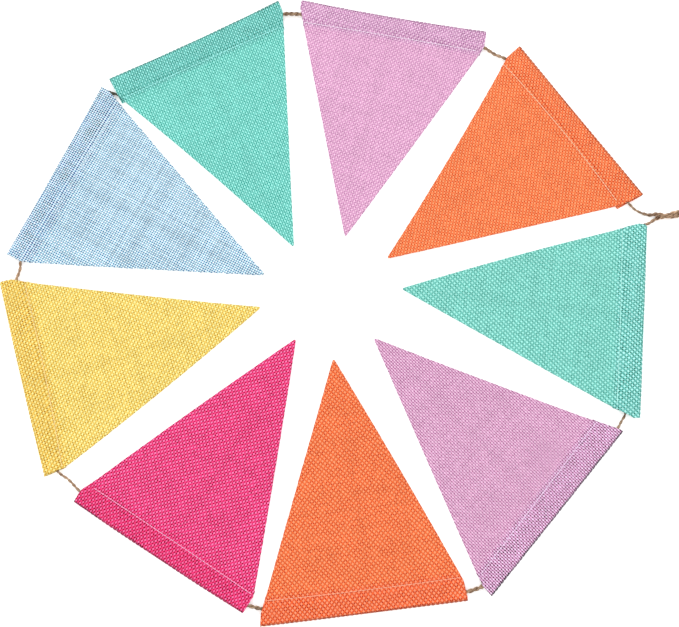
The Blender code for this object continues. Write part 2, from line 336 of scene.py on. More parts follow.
def bent_hair(thick, reach, bend):
    """A three-sided tapering hair along +X from the origin, bent upwards."""
    bpy.ops.object.select_all(action="DESELECT")
    bpy.ops.mesh.primitive_cone_add(
        vertices=3,
        radius1=thick / 2 * MM,
        radius2=thick / 6 * MM,
        depth=reach * MM,
        location=(reach / 2 * MM, 0, 0),
        rotation=(0, math.pi / 2, 0),
    )
    made = bpy.context.object
    bpy.ops.object.transform_apply(location=True, rotation=True, scale=True)
    bpy.ops.object.mode_set(mode="EDIT")
    for share in (0.35, 0.7):
        bpy.ops.mesh.select_all(action="SELECT")
        bpy.ops.mesh.bisect(plane_co=(share * reach * MM, 0, 0), plane_no=(1, 0, 0))
    bpy.ops.object.mode_set(mode="OBJECT")
    for vert in made.data.vertices:
        vert.co.z += (vert.co.x / (reach * MM)) ** 2 * bend * MM
    return made


def copies_of(model, seats, name):
    """One mesh with a copy of the model at every seat. The model goes."""
    points, faces = [], []
    for seat in seats:
        first = len(points)
        points += [seat @ vert.co for vert in model.data.vertices]
        faces += [[first + i for i in face.vertices] for face in model.data.polygons]
    bpy.data.objects.remove(model)
    mesh = bpy.data.meshes.new(name)
    mesh.from_pydata(points, [], faces)
    made = bpy.data.objects.new(name, mesh)
    bpy.context.scene.collection.objects.link(made)
    return made


def seat_on(place, way, up):
    """A matrix that puts X along the way and Z upwards at a place, in mm."""
    side = up.cross(way).normalized()
    turn = Matrix((way, side, way.cross(side))).transposed()
    return Matrix.Translation(place * MM) @ turn.to_4x4()


hair_seats = []
for i in range(2, len(twine_path) - 2):
    here = twine_path[i]
    if stretch_at(here) == (1.0, 0.0):
        continue  # inside a hem
    way = (twine_path[i + 1] - twine_path[i - 1]).normalized()
    if i % 3 == 0:
        way = -way
    sideways = way.cross(Vector((0, 0, 1))).normalized()
    angle = math.pi * (LEVEL + (1 - 2 * LEVEL) * (NEXT_ROUND * i % 1))  # none points into the ground
    up = sideways * math.cos(angle) + sideways.cross(way) * math.sin(angle)
    lean = (way + up * FIBRE_LEAN * (1 + noise.noise(here / 3))).normalized()
    hair_seats.append(seat_on(here + up * FIBRE_ROOT * stretch_at(here)[0], lean, up))
hairs = copies_of(bent_hair(FIBRE, FIBRE_REACH, FIBRE_BEND), hair_seats, "fibres")
strands = hairs.data.attributes.new("strands", "FLOAT_VECTOR", "POINT")
for i, mark in enumerate(strands.data):
    mark.vector = (i / 50, 0, 0)
print("fibres:", len(hair_seats))

# %% Join the twine
select_only(*plies, hairs)
bpy.ops.object.join()
twine = bpy.context.object
twine.name = "jute_twine"
bpy.ops.object.mode_set(mode="EDIT")
bpy.ops.mesh.select_all(action="SELECT")
bpy.ops.mesh.remove_doubles(threshold=0.000002)
bpy.ops.mesh.normals_make_consistent(inside=False)
bpy.ops.object.mode_set(mode="OBJECT")
bpy.ops.object.shade_smooth()
print("twine:", len(twine.data.polygons), "faces")

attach(twine, "root")
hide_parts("twine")

# %% [markdown]
# All nine pennants are cut to one pattern, but hand sewing makes each a little different. Three tables say
# how: where it lies, how its hem is turned, and how the rest of it is cut. They hold the solids' own sizes,
# so that the cloth lies where they do. Each pennant is thought of with the middle of its fold at the origin,
# its hem along X from end a to end b, and its tip towards -Y.

# %% Where each pennant lies
Place = collections.namedtuple("Place", "node x y turn cloth")
PLACES = (
    Place("pennant_1_teal", -98.2, 195.7, 26.4, "teal"),
    Place("pennant_2_lilac", 51.9, 214.2, -10.8, "lilac"),
    Place("pennant_3_orange", 188.4, 131.7, -53.6, "orange"),
    Place("pennant_4_teal", 226.4, -18.8, -95.3, "teal"),
    Place("pennant_5_lilac", 161.4, -151.6, -130.4, "lilac"),
    Place("pennant_6_orange", 28.6, -218.6, -173.0, "orange"),
    Place("pennant_7_pink", -112.6, -181.8, 148.1, "pink"),
    Place("pennant_8_yellow", -212.7, -58.6, 106.3, "yellow"),
    Place("pennant_9_blue", -197.6, 93.8, 64.0, "blue"),
)

# %% How each hem is turned, in mm
# wide: from the fold's middle to its corner. elbow, deep: where the hem's side meets the long side.
# sewn: depth of the sewing at the ends, and what it gains in the middle. round: the fold's corners.
# flap: how far the turned-under edge shows past the side.
Hem = collections.namedtuple(
    "Hem",
    "wide_a wide_b elbow_a deep_a elbow_b deep_b sewn_a sewn_b sewn_bow round_a round_b flap_a flap_b",
)
HEMS = (
    Hem(69.9, 70.3, 69.1, 16.0, 69.1, 10.8, 19.0, 20.0, -0.5, 1.0, 1.0, 2.3, 0.5),
    Hem(70.6, 70.6, 70.2, 7.0, 70.9, 13.2, 17.5, 16.8, -0.4, 3.2, 1.5, 0.4, 0.8),
    Hem(71.2, 72.3, 69.5, 14.3, 69.3, 16.5, 18.9, 19.0, -2.5, 0.8, 1.0, 0.4, 2.2),
    Hem(69.2, 69.0, 69.7, 6.5, 69.7, 5.0, 17.9, 16.6, -0.6, 3.0, 1.0, 0.3, 0.6),
    Hem(71.5, 73.0, 70.9, 3.0, 71.6, 9.5, 18.4, 14.9, -0.2, 0.8, 0.8, 0.4, 0.4),
    Hem(69.9, 70.5, 68.7, 14.0, 69.0, 8.8, 15.9, 16.4, -0.8, 0.8, 0.8, 0.4, 0.4),
    Hem(69.6, 68.6, 69.8, 13.0, 68.9, 9.5, 13.8, 15.3, 0.3, 1.0, 0.8, 0.6, 0.4),
    Hem(72.5, 70.3, 70.2, 15.0, 69.8, 9.0, 13.3, 17.1, 1.4, 0.8, 1.8, 0.5, 0.5),
    Hem(70.8, 71.4, 71.4, 11.8, 70.5, 8.0, 15.4, 17.7, 0.0, 1.0, 0.8, 0.6, 0.5),
)

# %% How the rest is cut and lies, in mm
# tip: its place along the hem. reach: its distance from the fold. bow: how far the fold and the two sides
# bow out at their middles. lift: how far the tip and the sides stand off the ground.
Cut = collections.namedtuple("Cut", "tip reach fold_bow bow_a bow_b lift_tip lift_a lift_b")
CUTS = (
    Cut(-2.8, 176.8, -1.2, -1.5, -0.2, 0.8, 0.5, 0.2),
    Cut(-3.7, 174.3, -1.4, 0.0, 0.4, 0.5, 0.2, 0.5),
    Cut(-0.1, 176.6, -0.2, -1.5, 0.1, 1.2, 0.6, 0.2),
    Cut(-7.3, 171.2, 0.1, 1.5, 0.1, 0.6, 0.3, 0.3),
    Cut(-10.1, 172.7, 0.1, -0.6, 0.2, 0.5, 0.2, 0.7),
    Cut(0.2, 173.0, 0.2, 0.9, 0.1, 1.0, 0.5, 0.3),
    Cut(0.2, 175.6, 0.7, 0.6, 0.9, 0.7, 0.8, 0.3),
    Cut(0.4, 174.3, 0.7, 1.5, -0.9, 0.6, 0.4, 0.6),
    Cut(-3.0, 173.6, -0.5, 0.2, 0.0, 0.9, 0.3, 0.2),
)

# %% [markdown]
# The weave is plain: each warp thread goes over one weft thread and under the next. The threads are about
# 1.6 mm apart and never run quite square to the hem. Warp here means the threads that run down the
# pennant, so their spacing is counted along the hem. No two lengths of cloth look alike close up: in one the
# dark rows between warp threads show most, in another those between weft threads, or the floats lean,
# partly because the yarn is twisted and partly because the light falls from one side. In the finish the dark
# rows are painted shade, and the lean is in part painted light.

# %% The weave of each pennant
# warp_gap, weft_gap: mm from thread to thread. turn: degrees from the hem. warp_rows, weft_rows: how dark
# the painted shade in the rows between threads is. floats: how much warp and weft differ, in part as a
# painted
# highlight on the warp floats. lean: of the floats, to either side, in part painted light from one side.
# uneven: how much one thread differs from the next. fray: how far thread ends stand out of the cut edge, mm.
Weave = collections.namedtuple(
    "Weave", "warp_gap weft_gap turn warp_rows weft_rows floats lean uneven fray"
)
WEAVES = (
    Weave(1.60, 1.68, -2.5, 0.55, 0.00, 0.8, 0.12, 0.05, 0.13),
    Weave(1.54, 1.62, -4.5, 0.25, 0.00, 0.8, -0.33, 0.05, 0.13),
    Weave(1.55, 1.58, -1.0, 0.10, 0.25, 0.8, 0.42, 0.05, 0.13),
    Weave(1.56, 1.77, -1.5, 0.00, 0.12, 1.0, -0.30, 0.06, 0.13),
    Weave(1.53, 1.72, -5.0, 0.60, 0.00, 0.4, 0.00, 0.05, 0.15),
    Weave(1.56, 1.73, 1.0, 0.10, 0.00, 1.0, 0.04, 0.05, 0.13),
    Weave(1.57, 1.69, -1.5, 0.50, 0.05, 0.7, -0.35, 0.06, 0.15),
    Weave(1.55, 1.73, 2.0, 0.00, 0.25, 1.0, 0.35, 0.05, 0.15),
    Weave(1.57, 1.69, -1.5, 0.50, 0.45, 0.4, 0.00, 0.15, 0.50),
)

# %% [markdown]
# The solids' cloth is 1 mm thick. That is the space the woven cloth takes up, from the lowest thread to the
# highest: here it is filled by a sheet 0.5 mm thick whose threads rise and fall by a quarter of a
# millimetre. Folded, it goes round the same half circle as the solid does.

# %% Sizes of the cloth and its folds, in mm
CLOTH = 1.0
SHEET = 0.5
FLOAT = 0.22  # a thread rises and falls by this much where it crosses another
HOLE = 0.16  # and the corners between four crossings lie this much lower
GAP = 0.3
FOLD_RADIUS = (TWINE + 2 * GAP + CLOTH) / 2
QUARTER = FOLD_RADIUS * math.pi / 2  # run of the cloth from the fold's outermost line to its top or bottom
SLACK = QUARTER - FOLD_RADIUS - CLOTH / 2  # what the cloth's run has more than its depth from the fold
FLAP_PAST = 2.5
CLOSING = 4.0
LANDING = 7.0
TIP_WIDTH = 1.2
TIP_FROM = 0.7  # share of the way to the tip from which the cloth rises
SIDE_WITHIN = 0.4  # share of the hem, from a side, within which that side rises


def side_line(hem, cut, end, depth):
    """How far out the straight side is at this depth from the fold, at end a or b."""
    if end == "a":
        wide, elbow, deep, tip = hem.wide_a, hem.elbow_a, hem.deep_a, -cut.tip
    else:
        wide, elbow, deep, tip = hem.wide_b, hem.elbow_b, hem.deep_b, cut.tip
    if depth < deep:
        return lerp(wide, elbow, depth / deep)
    return lerp(elbow, tip + TIP_WIDTH / 2, (depth - deep) / (cut.reach - deep))


def flat_outline(hem, cut):
    """The corners of the cloth before it is folded, anticlockwise, with the fold along y = 0."""
    past_a = hem.sewn_a + FLAP_PAST
    past_b = hem.sewn_b + FLAP_PAST
    return [
        (-hem.wide_a, 0.0),
        (-hem.elbow_a, -hem.deep_a - SLACK),
        (cut.tip - TIP_WIDTH / 2, -cut.reach - SLACK),
        (cut.tip + TIP_WIDTH / 2, -cut.reach - SLACK),
        (hem.elbow_b, -hem.deep_b - SLACK),
        (hem.wide_b, 0.0),
        (side_line(hem, cut, "b", past_b) + hem.flap_b, past_b + SLACK),
        (-side_line(hem, cut, "a", past_a) - hem.flap_a, past_a + SLACK),
    ]


def area_of(outline):
    pairs = zip(outline, outline[1:] + outline[:1])
    return sum(x1 * y2 - x2 * y1 for (x1, y1), (x2, y2) in pairs) / 2


cut_areas = [area_of(flat_outline(hem, cut)) for hem, cut in zip(HEMS, CUTS)]
print("cloth in each pennant, cm2:", [round(area / 100) for area in cut_areas])

# %% [markdown]
# A maker lays out the cloth, cuts it, folds it and sews it, and the model follows. The cloth starts as a
# grid with one square for every crossing of two threads, turned as the weave is turned. The outline is
# then cut with bisect, one straight edge at a time, which leaves real thread ends all along it. Poking every
# square adds a point in the hole between the threads.

# %% Cut the cloth
NEAR_A_POINT = 0.08  # mm, within which a cut goes through a point of the grid


def cut_cloth(name, outline, weave):
    """The flat cloth: a grid of threads, cut to the outline."""
    xs, ys = zip(*outline)
    middle = Vector(((min(xs) + max(xs)) / 2, (min(ys) + max(ys)) / 2, 0))
    spread = Vector((max(xs) - min(xs), max(ys) - min(ys), 0)).length
    count_x = 2 * round(spread * 0.46 / weave.warp_gap)
    count_y = 2 * round(spread * 0.5 / weave.weft_gap)
    bpy.ops.object.select_all(action="DESELECT")
    bpy.ops.mesh.primitive_grid_add(x_subdivisions=count_x, y_subdivisions=count_y, size=1)
    cloth = bpy.context.object
    cloth.name = cloth.data.name = name
    cloth.scale = (count_x * weave.warp_gap * MM, count_y * weave.weft_gap * MM, 1)
    cloth.rotation_euler = (0, 0, math.radians(weave.turn))
    cloth.location = middle * MM
    bpy.ops.object.transform_apply(location=True, rotation=True, scale=True)
    bpy.ops.object.mode_set(mode="EDIT")
    for (x1, y1), (x2, y2) in zip(outline, outline[1:] + outline[:1]):
        bpy.ops.mesh.select_all(action="SELECT")
        bpy.ops.mesh.bisect(
            plane_co=(x1 * MM, y1 * MM, 0),
            plane_no=Vector((y2 - y1, x1 - x2, 0)).normalized(),
            clear_outer=True,
            threshold=NEAR_A_POINT * MM,
        )
    bpy.ops.mesh.select_all(action="SELECT")
    bpy.ops.mesh.poke()
    bpy.ops.object.mode_set(mode="OBJECT")
    return cloth, middle


# %% [markdown]
# Before the cloth is folded, every point notes which threads it lies on. That is its place in the UV map
# called threads, in hundreds of threads, so that the weave in the finish stays on the weave in the mesh
# however the cloth is bent.

# %% Number the threads
THREADS_A_UNIT = 100


def number_threads(cloth, middle, weave):
    """Gives every point its thread numbers, and writes them to the UV map."""
    back = Matrix.Rotation(math.radians(-weave.turn), 3, "Z")
    threads = []
    for vert in cloth.data.vertices:
        square = back @ (vert.co / MM - middle)
        threads.append(Vector((square.x / weave.warp_gap, square.y / weave.weft_gap)))
    layer = cloth.data.uv_layers[0]
    layer.name = "threads"
    for loop, spot in zip(cloth.data.loops, layer.data):
        spot.uv = threads[loop.vertex_index] / THREADS_A_UNIT
    return threads


# %% [markdown]
# Folding is one function from a flat place to a place in space. The hem allowance goes round the fold and
# under, the top layer comes down to it at the sewing, and past the sewing the cloth settles on the
# ground. The bowed sides and the rounded corners are pushed into shape here too, because that is how they
# come about in cloth that was cut straight.

# %% Fold the cloth
EDGE_PULL = 9.0  # mm from a side within which a rounded corner draws the cloth in


def sewn_depth(hem, share):
    return lerp(hem.sewn_a, hem.sewn_b, share) + hem.sewn_bow * arch(share)


def corner_pull(radius, depth, inside):
    """How far a rounded corner of the fold draws a point in, this far inside the side."""
    if depth >= radius:
        return 0.0
    pull = radius * (1 - math.sqrt(max(0.0, 1 - (1 - depth / radius) ** 2)))
    return pull * max(0.0, 1 - inside / EDGE_PULL) ** 2


def stand_off(cut, way, share):
    """How far the single layer stands off the ground, from way 0 at the sewing to 1 at the tip."""
    tip = cut.lift_tip * max(0.0, (way - TIP_FROM) / (1 - TIP_FROM)) ** 2
    near_a = cut.lift_a * max(0.0, 1 - share / SIDE_WITHIN) ** 2
    near_b = cut.lift_b * max(0.0, 1 - (1 - share) / SIDE_WITHIN) ** 2
    return tip + math.sin(math.pi * min(1.0, way)) ** 2 * (near_a + near_b)


def top_height(hem, cut, depth, share):
    """Height of the cloth's middle in the layer that shows."""
    sewn = sewn_depth(hem, share)
    if depth < sewn:
        return CLOTH / 2 + lerp(CLOTH + GAP, 2 * FOLD_RADIUS, smooth((sewn - depth) / CLOSING))
    past = depth - sewn - FLAP_PAST - GAP
    over_flap = 1 - smooth(past / (LANDING - FLAP_PAST - GAP))
    way = (depth - sewn) / (cut.reach - sewn)
    return CLOTH / 2 + over_flap * (CLOTH + GAP) + stand_off(cut, way, share)


def folded(hem, cut, x, y):
    """Where a point of the flat cloth comes to lie, and its depth from the fold."""
    run = -y
    depth = max(0.0, abs(run) - SLACK)
    if abs(run) < QUARTER:
        depth = CLOTH / 2 + FOLD_RADIUS * (1 - math.cos(run / FOLD_RADIUS))
    side_a = side_line(hem, cut, "a", depth)
    side_b = side_line(hem, cut, "b", depth)
    share = min(1.0, max(0.0, (x + side_a) / (side_a + side_b)))
    if abs(run) < QUARTER:
        height = CLOTH / 2 + FOLD_RADIUS * (1 + math.sin(run / FOLD_RADIUS))
    elif run < 0:
        height = CLOTH / 2
    else:
        height = top_height(hem, cut, depth, share)
        past_a = max(0.0, (depth - hem.deep_a) / (cut.reach - hem.deep_a))
        past_b = max(0.0, (depth - hem.deep_b) / (cut.reach - hem.deep_b))
        x += share * cut.bow_b * arch(past_b) - (1 - share) * cut.bow_a * arch(past_a)
    x += corner_pull(hem.round_a, depth, side_a + x) - corner_pull(hem.round_b, depth, side_b - x)
    fold_share = 1 - min(1.0, depth / sewn_depth(hem, share))
    return Vector((x, -depth + cut.fold_bow * arch(share) * fold_share, height)), depth


def relief(thread):
    """How far a point of the cloth stands above its middle, in mm, from its thread numbers."""
    up = math.cos(math.pi * thread.x) * math.cos(math.pi * thread.y)
    hole = (math.sin(math.pi * thread.x) * math.sin(math.pi * thread.y)) ** 2
    return FLOAT * up - HOLE * hole


# %% [markdown]
# Cotton cut with scissors is never left with a ruled edge: every thread ends a little further out or in than
# its neighbour. The points on the edge are the ends of the threads here, so each is moved out or in by its
# own amount while the cloth is still flat. The blue cloth has frayed most.

# %% Fray the cut edges
FRAY_FINENESS = 1.37  # of the noise, to a mm, so that neighbouring threads differ


def rim_of(mesh):
    """The numbers of the points on the cloth's cut edge."""
    uses = collections.Counter(key for face in mesh.polygons for key in face.edge_keys)
    return {point for key, count in uses.items() if count == 1 for point in key}


def outward(outline, spot):
    """The direction out of the outline at the edge that is nearest to a spot."""
    nearest, found = 1e9, None
    for (x1, y1), (x2, y2) in zip(outline, outline[1:] + outline[:1]):
        way = Vector((x2 - x1, y2 - y1)).normalized()
        off = Vector((spot.x - x1, spot.y - y1))
        along = min((x2 - x1) * way.x + (y2 - y1) * way.y, max(0.0, off.dot(way)))
        distance = (off - way * along).length
        if distance < nearest:
            nearest, found = distance, Vector((way.y, -way.x))
    return found


def fray(cloth, outline, weave):
    """Moves the thread ends out or in, and gives back the numbers of the points that they are."""
    rim = rim_of(cloth.data)
    for number in rim:
        vert = cloth.data.vertices[number]
        out = outward(outline, vert.co / MM)
        length = noise.noise(vert.co / MM * FRAY_FINENESS) * 1.6  # noise seldom passes 0.6
        vert.co += out.to_3d() * weave.fray * length * MM
    return rim


# %% [markdown]
# The finished pennant gets its relief along its normals, so that the threads stay round on the fold as
# well, and then its thickness from Solidify. An attribute called hem says where two layers lie on each
# other: light comes through a single layer from the white ground, and hardly through two. Another, called
# edge, says where the cloth was cut, where the finish paints shade along the thread ends, and a third,
# fold, how many millimetres of cloth there are to the line that it is turned over on, where the finish
# paints shade on the fold.

# %% Make the pennants
FADE = 3.0  # mm within which the look of doubled cloth ends


def pennant(place, hem, cut, weave):
    outline = flat_outline(hem, cut)
    cloth, middle = cut_cloth(place.node + "_cloth", outline, weave)
    rim = fray(cloth, outline, weave)
    threads = number_threads(cloth, middle, weave)
    mesh = cloth.data
    cut_edge = mesh.attributes.new("edge", "FLOAT", "POINT")
    for number in rim:
        cut_edge.data[number].value = 1.0
    turned = mesh.attributes.new("fold", "FLOAT", "POINT")
    for vert, mark in zip(mesh.vertices, turned.data):
        mark.value = abs(vert.co.y) / MM
    doubled = mesh.attributes.new("hem", "FLOAT", "POINT")
    for vert, mark in zip(mesh.vertices, doubled.data):
        x, y = vert.co.x / MM, vert.co.y / MM
        spot, depth = folded(hem, cut, x, y)
        share = (x + hem.wide_a) / (hem.wide_a + hem.wide_b)
        mark.value = smooth(0.5 + (sewn_depth(hem, share) + FLAP_PAST - depth) / FADE)
        vert.co = spot * MM
    mesh.update()
    normals = [vert.normal.copy() for vert in mesh.vertices]
    for vert, normal, thread in zip(mesh.vertices, normals, threads):
        vert.co += normal * relief(thread) * MM
    seat = Matrix.Translation(Vector((place.x, place.y, 0)) * MM)
    mesh.transform(seat @ Matrix.Rotation(math.radians(place.turn), 4, "Z"))
    select_only(cloth)
    bpy.ops.object.modifier_add(type="SOLIDIFY")
    cloth.modifiers[-1].thickness = SHEET * MM
    cloth.modifiers[-1].offset = 0
    bpy.ops.object.modifier_apply(modifier=cloth.modifiers[-1].name)
    bpy.ops.object.shade_smooth()
    return cloth


cloths = []
for row in zip(PLACES, HEMS, CUTS, WEAVES):
    cloths.append(pennant(*row))
    print(cloths[-1].name, len(cloths[-1].data.polygons), "faces")

# %% [markdown]
# The hem is sewn by machine with a lockstitch in pale thread, about three millimetres to a stitch. One
# stitch is modelled and repeated with Array, and Curve lays the row along the sewing. A stitch is a short
# bar whose ends dive into the cloth.

# %% One stitch
STITCH_EVERY = 2.9  # mm
STITCH = 2.75  # mm long
THREAD = 0.52  # mm thick
PROUD = 0.62  # mm from the middle of the upper layer of cloth up to a stitch's
ABOVE = CLOTH * 1.5 + GAP + PROUD  # height of the row on top, mm
BELOW = 0.22  # and of the row underneath
DIVE = 0.35  # mm that the ends of a stitch go into the cloth
FROM_SIDE = 1.5  # mm from the hem's side to the sewing
LINE_POINTS = 25


def stitch():
    """A six-sided stitch along +X from the origin, arched."""
    bpy.ops.object.select_all(action="DESELECT")
    bpy.ops.mesh.primitive_cylinder_add(
        vertices=6,
        radius=THREAD / 2 * MM,
        depth=STITCH * MM,
        location=(STITCH / 2 * MM, 0, 0),
        rotation=(0, math.pi / 2, 0),
    )
    made = bpy.context.object
    bpy.ops.object.transform_apply(location=True, rotation=True, scale=True)
    bpy.ops.object.mode_set(mode="EDIT")
    for share in (0.18, 0.5, 0.82):
        bpy.ops.mesh.select_all(action="SELECT")
        bpy.ops.mesh.bisect(plane_co=(share * STITCH * MM, 0, 0), plane_no=(1, 0, 0))
    bpy.ops.object.mode_set(mode="OBJECT")
    for vert in made.data.vertices:
        share = vert.co.x / (STITCH * MM)
        taper = 0.45 + 0.55 * arch(share) ** 0.35
        vert.co.y *= taper
        vert.co.z = vert.co.z * taper + (arch(share) - 1) * DIVE * MM
    return made


# %% Sew the hems
def seam_line(place, hem, cut, height):
    """The line of sewing as a curve, at this height."""
    width = hem.wide_a + hem.wide_b
    curve = bpy.data.curves.new(place.node + "_line", "CURVE")
    curve.dimensions = "3D"
    curve.twist_mode = "Z_UP"
    spline = curve.splines.new("POLY")
    inset = FROM_SIDE / width
    shares = [lerp(inset, 1 - inset, i / (LINE_POINTS - 1)) for i in range(LINE_POINTS)]
    spline.points.add(LINE_POINTS - 1)
    seat = Matrix.Translation((place.x, place.y, 0)) @ Matrix.Rotation(math.radians(place.turn), 4, "Z")
    for spot, share in zip(spline.points, shares):
        depth = sewn_depth(hem, share)
        left = -side_line(hem, cut, "a", depth)
        right = side_line(hem, cut, "b", depth)
        spot.co = (*(seat @ Vector((lerp(left, right, share), -depth, height)) * MM), 1)
    line = bpy.data.objects.new(curve.name, curve)
    bpy.context.scene.collection.objects.link(line)
    return line


def row_of_stitches(place, hem, cut, height, turned):
    line = seam_line(place, hem, cut, height)
    points = line.data.splines[0].points
    length = sum((b.co - a.co).length for a, b in zip(points, points[1:]))
    row = stitch()
    if turned:
        row.data.transform(Matrix.Scale(-1, 4, (0, 0, 1)))
        row.data.flip_normals()
    select_only(row)
    bpy.ops.object.modifier_add(type="ARRAY")
    array = row.modifiers[-1]
    array.count = int(length / MM / STITCH_EVERY)
    array.use_relative_offset = False
    array.use_constant_offset = True
    array.constant_offset_displace = (STITCH_EVERY * MM, 0, 0)
    bpy.ops.object.modifier_apply(modifier=array.name)
    bpy.ops.object.modifier_add(type="CURVE")
    bend = row.modifiers[-1]
    bend.object = line
    bpy.ops.object.modifier_apply(modifier=bend.name)
    bpy.data.objects.remove(line)
    return row


def sewing(place, hem, cut):
    rows = [row_of_stitches(place, hem, cut, ABOVE, False), row_of_stitches(place, hem, cut, BELOW, True)]
    select_only(*rows)
    bpy.ops.object.join()
    made = bpy.context.object
    made.name = made.data.name = place.node + "_sewing"
    bpy.ops.object.shade_smooth()
    return made


seams = [sewing(place, hem, cut) for place, hem, cut in zip(PLACES, HEMS, CUTS)]
print("stitches:", sum(len(seam.data.polygons) for seam in seams), "faces")

# %% [markdown]
# Cotton sheeting is matt. What the eye takes for its colour is the mix of light floats, where a thread
# passes over another and catches the light, and darker holes between the threads, where shade falls. Both
# are painted into the colour here: a highlight on the floats in part, and shade in the holes. No two pennants
# were dyed quite alike. Where the cloth is doubled the white ground no longer shines through it, so it is
# darker there, and its threads stand out more.

# %% The dyes
# over, under, hole: the yarn where it lies over another, under it, and between threads; over is lighter in
# part as a painted highlight, and hole is painted shade in the gaps. hem: the tint that doubling gives.
# sewing: the colour of its thread. fold: how dark the painted shade on the fold is, where the cloth turns
# away from the light, and the column after it: over how many mm of cloth from the fold that shade reaches.
# crisp, hem_crisp: how far the threads stand out.
Dye = collections.namedtuple("Dye", "over under hole hem sewing fold soiled crisp hem_crisp")
DYES = (
    Dye("#a7f5ea", "#74cec3", "#1c8f7f", "#efeff2", "#b0fffa", 0.66, 3.3, 1.05, 1.30),
    Dye("#f2c4df", "#d99cc5", "#a76d97", "#f3f9f9", "#ffeeff", 0.78, 3.4, 1.05, 1.50),
    Dye("#f7a574", "#f7773d", "#c73a0b", "#fdf8fa", "#ffdcb8", 0.68, 3.3, 1.15, 1.30),
    Dye("#a4ece0", "#6dc2b6", "#0c7c69", "#fffafe", "#c0fff6", 0.82, 2.8, 0.97, 1.35),
    Dye("#f2cfe8", "#dd9fc6", "#9d5c87", "#f5f7fc", "#ffe4ff", 0.60, 2.8, 1.15, 1.95),
    Dye("#f7986a", "#eb6b34", "#b92a0b", "#fdf2ff", "#ffbc9a", 0.62, 2.8, 1.15, 1.30),
    Dye("#fe7cb4", "#fa2a78", "#a00632", "#f9e1eb", "#ffbee2", 0.62, 2.8, 1.45, 1.45),
    Dye("#f7eb99", "#f1cf66", "#b98d18", "#faf2e7", "#ffe4a4", 0.96, 2.6, 1.25, 1.40),
    Dye("#fbffff", "#c0f1ff", "#5c86ab", "#eef4fa", "#dcf4ff", 0.92, 2.6, 1.33, 1.90),
)

# %% [markdown]
# The finish starts with the weave. It could be an image, but nodes stay sharp from near by, and the thread
# numbers keep them on the mesh's own threads. A cosine wave across the threads each way says which thread is
# on top, because the product of the two changes sign from one crossing to the next, and sine waves say where
# the rows between threads and the holes are.

# %% Finish: the weave
# the holes and the rows between threads are darkened as painted shade
HOLES = 0.75  # how dark the holes are


def thread_numbers(tree):
    """The thread numbers at each place, with a little wander so that no thread is ruled straight."""
    uv = add_node(tree, "UVMap", uv_map="threads")
    number = add_node(tree, "VectorMath", {0: uv, "Scale": THREADS_A_UNIT}, operation="SCALE")
    wander = add_node(tree, "TexNoise", {"Vector": number, "Scale": 0.22, "Detail": 2.0}, output=1)
    wander = add_node(tree, "VectorMath", {0: wander, 1: (0.5, 0.5, 0.5)}, operation="SUBTRACT")
    wander = add_node(tree, "VectorMath", {0: wander, "Scale": 0.5}, operation="SCALE")
    return add_node(tree, "VectorMath", {0: number, 1: wander}, operation="ADD")


def plain_weave(tree, number, split, dye, weave):
    """The weave's colour, how much of the warp shows at each place, and how high the threads stand."""
    waves = {}
    for axis in ("X", "Y"):
        angle = add_node(tree, "Math", {0: split.outputs[axis], 1: math.pi}, operation="MULTIPLY")
        waves["cos" + axis] = add_node(tree, "Math", {0: angle}, operation="COSINE")
        waves["sin" + axis] = add_node(tree, "Math", {0: angle}, operation="SINE")
        waves["row" + axis] = add_node(tree, "Math", {0: waves["sin" + axis], 1: 2.0}, operation="POWER")
    over = add_node(tree, "Math", {0: waves["cosX"], 1: waves["cosY"]}, operation="MULTIPLY")
    corner = add_node(tree, "Math", {0: waves["sinX"], 1: waves["sinY"]}, operation="MULTIPLY")
    hole = add_node(tree, "Math", {0: waves["rowX"], 1: waves["rowY"]}, operation="MULTIPLY")
    # warp where it is on top, weft elsewhere; the warp floats are lighter in part as a painted highlight, and
    # the lean tips the pattern to one diagonal, in part as painted light from one side
    parity = add_node(tree, "Math", {0: corner, 1: -weave.lean, 2: over}, operation="MULTIPLY_ADD")
    half = weave.floats / 2
    warp_up = add_node(tree, "MapRange", {0: parity, 1: -0.5, 2: 0.5, 3: 0.5 - half, 4: 0.5 + half})
    colour = add_node(
        tree, "Mix", {0: warp_up, 6: linear(dye.under), 7: linear(dye.over)}, output=2, data_type="RGBA"
    )
    # rows between threads, and the holes where they cross, no two of one size, darkened towards the hole
    # colour as painted shade
    square = add_node(tree, "VectorMath", {0: number}, operation="FLOOR")
    own_hole = add_node(tree, "TexWhiteNoise", {"Vector": square}, noise_dimensions="2D")
    own_hole = add_node(tree, "MapRange", {0: own_hole, 3: 0.5, 4: 1.5})
    hole = add_node(tree, "Math", {0: hole, 1: own_hole}, operation="MULTIPLY")
    dark = add_node(tree, "Math", {0: waves["rowX"], 1: weave.warp_rows, 2: hole}, operation="MULTIPLY_ADD")
    dark = add_node(tree, "Math", {0: waves["rowY"], 1: weave.weft_rows, 2: dark}, operation="MULTIPLY_ADD")
    dark = add_node(tree, "Math", {0: dark, 1: HOLES}, operation="MULTIPLY", use_clamp=True)
    colour = add_node(tree, "Mix", {0: dark, 6: colour, 7: linear(dye.hole)}, output=2, data_type="RGBA")
    return colour, warp_up, add_node(tree, "Math", {0: over}, operation="ABSOLUTE")
